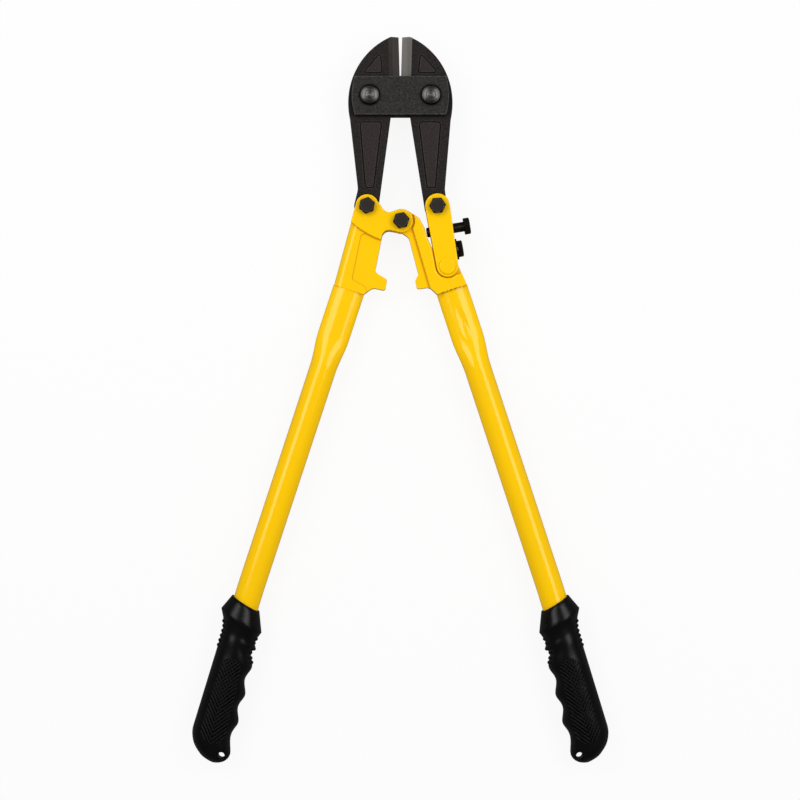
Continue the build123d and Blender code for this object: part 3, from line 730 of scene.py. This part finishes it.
class BOLT_CUTTERS_OT_jaws(Operator):
    """Finishes the jaws and their plates as blackened forgings with ground blades"""

    bl_idname = "bolt_cutters.jaws"
    bl_label = "Finish jaws"

    def execute(self, context):
        finish = context.scene.cutter_finish
        jaw = forged_steel(finish, "blackened_jaw_steel", finish.forged, rub=0.2, is_jaw=True)
        plate = forged_steel(finish, "blackened_plate_steel", finish.plate, rub=1.0, is_jaw=False)
        for names, material in ((JAWS, jaw), (PLATES, plate)):
            for name in names:
                wear(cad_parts[name], material)
        return {"FINISHED"}


class BOLT_CUTTERS_OT_fasteners(Operator):
    """Finishes the pins, bolts, nuts and screws in black oxide"""

    bl_idname = "bolt_cutters.fasteners"
    bl_label = "Finish fasteners"

    def execute(self, context):
        finish = context.scene.cutter_finish
        pins = turned_steel(finish)
        bolts = oxide_steel(finish, "black_oxide_steel", threaded=False)
        screws = oxide_steel(finish, "black_oxide_threads", threaded=True)
        for names, material in ((PINS, pins), (BOLTS, bolts), (SCREWS, screws)):
            for name in names:
                wear(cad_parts[name], material)
        return {"FINISHED"}


class BOLT_CUTTERS_OT_grips(Operator):
    """Moulds the gripping panels and the neck ribs onto both grips"""

    bl_idname = "bolt_cutters.grips"
    bl_label = "Mould grips"

    def lay_on(self, piece, target, method):
        """A Shrinkwrap that lays a piece on a grip."""
        wrap = piece.modifiers.new("lie_on_grip", "SHRINKWRAP")
        wrap.target = target
        wrap.wrap_method = method
        return wrap

    def drop(self, piece, outside):
        """Deletes the points of a piece that lie outside."""
        bpy.ops.object.mode_set(mode="EDIT")
        bpy.ops.mesh.select_all(action="DESELECT")
        bpy.ops.object.mode_set(mode="OBJECT")
        for vertex in piece.data.vertices:
            vertex.select = outside(vertex.co)
        bpy.ops.object.mode_set(mode="EDIT")
        bpy.ops.mesh.delete(type="VERT")
        bpy.ops.object.mode_set(mode="OBJECT")

    def panel(self, context, side, face, rubber):
        """A ridged panel on the front (face 1) or back (face -1) of a grip."""
        grip = context.scene.cutter_grips
        name, body = GRIPS[side]
        axes = GripFrame(side)
        width, length = PANEL_SHEET
        clear = UP * (face * 2 * MIDDLE_Z)
        bpy.ops.object.select_all(action="DESELECT")
        bpy.ops.mesh.primitive_grid_add(
            x_subdivisions=round(width / PANEL_STEP),
            y_subdivisions=round(length / PANEL_STEP),
            size=1.0,
        )
        piece = context.object
        turned = Matrix((axes.across * width, axes.along * length * side, UP)).transposed().to_4x4()
        piece.matrix_world = Matrix.Translation(axes.point(PANEL_CENTRE) + clear) @ turned
        bpy.ops.object.transform_apply(location=True, rotation=True, scale=True)
        # The sheet is cut a little outside the panel's outline, and its rim dips into the grip
        rim = 0.0009
        sunk = 0.0006
        fade_width = 0.0005
        self.drop(piece, lambda point: panel_edge(grip, axes.place(point))[0] < -rim)
        upward = sum(polygon.normal.z for polygon in piece.data.polygons)
        if upward * face < 0:
            bpy.ops.object.mode_set(mode="EDIT")
            bpy.ops.mesh.select_all(action="SELECT")
            bpy.ops.mesh.flip_normals()
            bpy.ops.object.mode_set(mode="OBJECT")
        wrap = self.lay_on(piece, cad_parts[name], "PROJECT")
        wrap.use_project_z = True
        wrap.use_positive_direction = face < 0
        wrap.use_negative_direction = face > 0
        bpy.ops.object.modifier_apply(modifier=wrap.name)
        crest = piece.data.attributes.new(CREST, "FLOAT", "POINT")
        for vertex in piece.data.vertices:
            inside, lift = herringbone(grip, axes.place(vertex.co))
            fade = clamp(inside / fade_width)
            vertex.co.z += face * (lift * fade * grip.ridge_height - sunk * (1 - fade))
            crest.data[vertex.index].value = lift * fade
        thick = piece.modifiers.new("thickness", "SOLIDIFY")
        thick.thickness = 0.0012
        thick.offset = -1.0
        bpy.ops.object.modifier_apply(modifier=thick.name)
        bpy.ops.object.shade_smooth()
        label = "_front_panel" if face > 0 else "_back_panel"
        add_piece(piece, name + label, body, rubber)

    def ribs(self, context, side, rubber):
        """The slanted ribs on both flanks of a grip's neck, each a rope laid on the grip."""
        grip = context.scene.cutter_grips
        name, body = GRIPS[side]
        axes = GripFrame(side)
        rings = []
        for index in range(grip.ribs):
            step = Vector((0.0, grip.rib_pitch * index))
            outer = axes.point(RIB_OUTER + step)
            inner = axes.point(RIB_INNER + step)
            half = (inner - outer) / 2
            bpy.ops.object.select_all(action="DESELECT")
            bpy.ops.mesh.primitive_circle_add(vertices=192, radius=1.0)
            ring = context.object
            turned = Matrix((half, UP * MIDDLE_Z, half.cross(UP).normalized())).transposed().to_4x4()
            ring.matrix_world = Matrix.Translation((inner + outer) / 2) @ turned
            bpy.ops.object.transform_apply(location=True, rotation=True, scale=True)
            wrap = self.lay_on(ring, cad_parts[name], "NEAREST_SURFACEPOINT")
            wrap.wrap_mode = "ABOVE_SURFACE"
            wrap.offset = grip.rib_height - grip.rib_radius
            bpy.ops.object.modifier_apply(modifier=wrap.name)
            self.drop(ring, lambda point: abs(point.z - MIDDLE_Z) > grip.rib_reach)
            rings.append(ring)
        bpy.ops.object.select_all(action="DESELECT")
        for ring in rings:
            ring.select_set(True)
        context.view_layer.objects.active = rings[0]
        bpy.ops.object.join()
        bpy.ops.object.convert(target="CURVE")
        rope = context.object.data
        rope.bevel_depth = grip.rib_radius
        rope.bevel_resolution = 3
        rope.use_fill_caps = True
        # Each rib keeps its width over the middle and thins out at its ends
        thinnest = 0.1
        fall = 3
        for spline in rope.splines:
            for point in spline.points:
                height = abs(point.co.z - MIDDLE_Z) / grip.rib_reach
                point.radius = max(thinnest, 1 - height**fall)
        bpy.ops.object.convert(target="MESH")
        piece = context.object
        bpy.ops.object.mode_set(mode="EDIT")
        bpy.ops.mesh.select_all(action="SELECT")
        bpy.ops.mesh.remove_doubles()
        bpy.ops.mesh.normals_make_consistent(inside=False)
        bpy.ops.object.mode_set(mode="OBJECT")
        bpy.ops.object.shade_smooth()
        add_piece(piece, name + "_ribs", body, rubber)

    def execute(self, context):
        finish = context.scene.cutter_finish
        smooth = moulded_rubber(finish, "moulded_black_rubber", rounding=0.005, gloss=0.3, is_ridged=False)
        ridged = moulded_rubber(finish, "moulded_ridge_rubber", rounding=0.0003, gloss=0.1, is_ridged=True)
        for side in GRIPS:
            wear(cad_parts[GRIPS[side][0]], smooth)
            for face in (1, -1):
                self.panel(context, side, face, ridged)
            self.ribs(context, side, smooth)
        return {"FINISHED"}


class BOLT_CUTTERS_OT_studio(Operator):
    """Lays the tool on a white table under soft studio lights, with the camera overhead"""

    bl_idname = "bolt_cutters.studio"
    bl_label = "Set up studio"

    # How bright the white surroundings look in a gloss coat: the room behind the lights is dim
    in_gloss = 0.05
    # The share of the paper that glows white; the rest lets the tool's soft shadow show
    paper_glow = 0.9
    # How far the camera stands to the right of the tool's middle
    camera_aside = -0.0003

    def seen_white(self, tree, otherwise):
        """Which rays see the white background, and how bright it is to each kind of ray."""
        path = add(tree, "ShaderNodeLightPath")
        glossy = path.outputs["Is Glossy Ray"]
        through = {0: path.outputs["Is Camera Ray"], 1: path.outputs["Is Transmission Ray"]}
        clear = add(tree, "ShaderNodeMath", through, operation="MAXIMUM")
        strength = add(tree, "ShaderNodeMix", {0: glossy, 1: otherwise, 2: self.in_gloss}, data_type="FLOAT")
        strength = add(tree, "ShaderNodeMix", {0: clear, 1: strength, 2: 1.0}, data_type="FLOAT")
        return add(tree, "ShaderNodeMath", {0: clear, 1: glossy}, operation="MAXIMUM"), strength

    def table(self):
        """A wide sheet of white paper under the tool."""
        bpy.ops.object.select_all(action="DESELECT")
        bpy.ops.mesh.primitive_plane_add(size=8.0, location=(0.0, 0.0, 0.0))
        table = bpy.context.object
        table.name = "white_table"
        material, tree = start_material("white_table_paper")
        seen, strength = self.seen_white(tree, otherwise=0.0)
        share = add(tree, "ShaderNodeMath", {0: seen, 1: self.paper_glow}, operation="MULTIPLY")
        paper = add(tree, "ShaderNodeBsdfDiffuse", {"Color": PAPER})
        white = add(tree, "ShaderNodeEmission", {"Color": WHITE, "Strength": strength})
        surface = add(tree, "ShaderNodeMixShader", {0: share, 1: paper, 2: white})
        add(tree, "ShaderNodeOutputMaterial", {"Surface": surface})
        wear(table, material)

    def surroundings(self, context, studio):
        """Even light from all around, which looks white to the camera."""
        world = bpy.data.worlds.new("studio")
        context.scene.world = world
        world.use_nodes = True
        # Light paths tell the kinds of rays apart only where the world isn't sampled as a lamp
        world.cycles.sampling_method = "NONE"
        tree = world.node_tree
        tree.nodes.clear()
        strength = self.seen_white(tree, otherwise=studio.ambient)[1]
        glow = add(tree, "ShaderNodeBackground", {"Color": WHITE, "Strength": strength})
        add(tree, "ShaderNodeOutputWorld", {"Surface": glow})

    def lamp(self, studio, name, side, power, shift):
        """A softbox beside the tool that shines along the handle tube on its side."""
        along = Vector((-side * sin(TUBE_LEAN), cos(TUBE_LEAN), 0.0))
        target = Vector((side * TUBE_LINE.x, TUBE_LINE.y, MIDDLE_Z)) + along * shift
        outward = Vector((side * cos(TUBE_LEAN), sin(TUBE_LEAN), 0.0))
        place = target + (outward * tan(studio.light_angle) + UP) * studio.light_height
        bpy.ops.object.select_all(action="DESELECT")
        bpy.ops.object.light_add(type="AREA", location=place)
        lamp = bpy.context.object
        lamp.name = name
        lamp.data.shape = "RECTANGLE"
        lamp.data.size = studio.light_length
        lamp.data.size_y = studio.light_width
        lamp.data.energy = power
        lamp.rotation_euler = (target - place).to_track_quat("-Z", "Y").to_euler()

    def camera(self, context, studio):
        """A camera straight above the tool, which frames the width of the view."""
        bpy.ops.object.select_all(action="DESELECT")
        height = MIDDLE_Z + studio.camera_distance
        bpy.ops.object.camera_add(location=(self.camera_aside, 0.0, height), rotation=(0.0, 0.0, 0.0))
        camera = context.object
        camera.data.sensor_fit = "HORIZONTAL"
        camera.data.sensor_width = 36.0
        camera.data.lens = camera.data.sensor_width * studio.camera_distance / studio.view_width
        camera.data.clip_end = 20.0
        camera.data.dof.use_dof = False
        context.scene.camera = camera

    def execute(self, context):
        studio = context.scene.cutter_studio
        self.table()
        self.surroundings(context, studio)
        self.lamp(studio, "left_light", -1, studio.left_power, studio.left_shift)
        self.lamp(studio, "right_light", 1, studio.right_power, 0.0)
        self.camera(context, studio)
        context.scene.view_settings.view_transform = "Standard"
        return {"FINISHED"}


class BOLT_CUTTERS_PT_sidebar(Panel):
    """Lists the steps that finish the bolt cutters"""

    bl_idname = "BOLT_CUTTERS_PT_sidebar"
    bl_label = "Bolt cutters"
    bl_space_type = "VIEW_3D"
    bl_region_type = "UI"
    bl_category = "Bolt cutters"

    def draw(self, context):
        column = self.layout.column()
        for step in STEPS:
            column.operator(step.bl_idname)


STEPS = (
    BOLT_CUTTERS_OT_paint,
    BOLT_CUTTERS_OT_jaws,
    BOLT_CUTTERS_OT_fasteners,
    BOLT_CUTTERS_OT_grips,
    BOLT_CUTTERS_OT_studio,
)
SETTINGS = (FinishSettings, GripSettings, StudioSettings)
CLASSES = SETTINGS + STEPS + (BOLT_CUTTERS_PT_sidebar,)


def register():
    for entry in CLASSES:
        bpy.utils.register_class(entry)
    bpy.types.Scene.cutter_finish = PointerProperty(type=FinishSettings)
    bpy.types.Scene.cutter_grips = PointerProperty(type=GripSettings)
    bpy.types.Scene.cutter_studio = PointerProperty(type=StudioSettings)


def unregister():
    del bpy.types.Scene.cutter_studio
    del bpy.types.Scene.cutter_grips
    del bpy.types.Scene.cutter_finish
    for entry in reversed(CLASSES):
        bpy.utils.unregister_class(entry)


def main():
    register()
    bpy.ops.bolt_cutters.paint()
    bpy.ops.bolt_cutters.jaws()
    bpy.ops.bolt_cutters.fasteners()
    bpy.ops.bolt_cutters.grips()
    bpy.ops.bolt_cutters.studio()


if __name__ == "__main__":
    main()
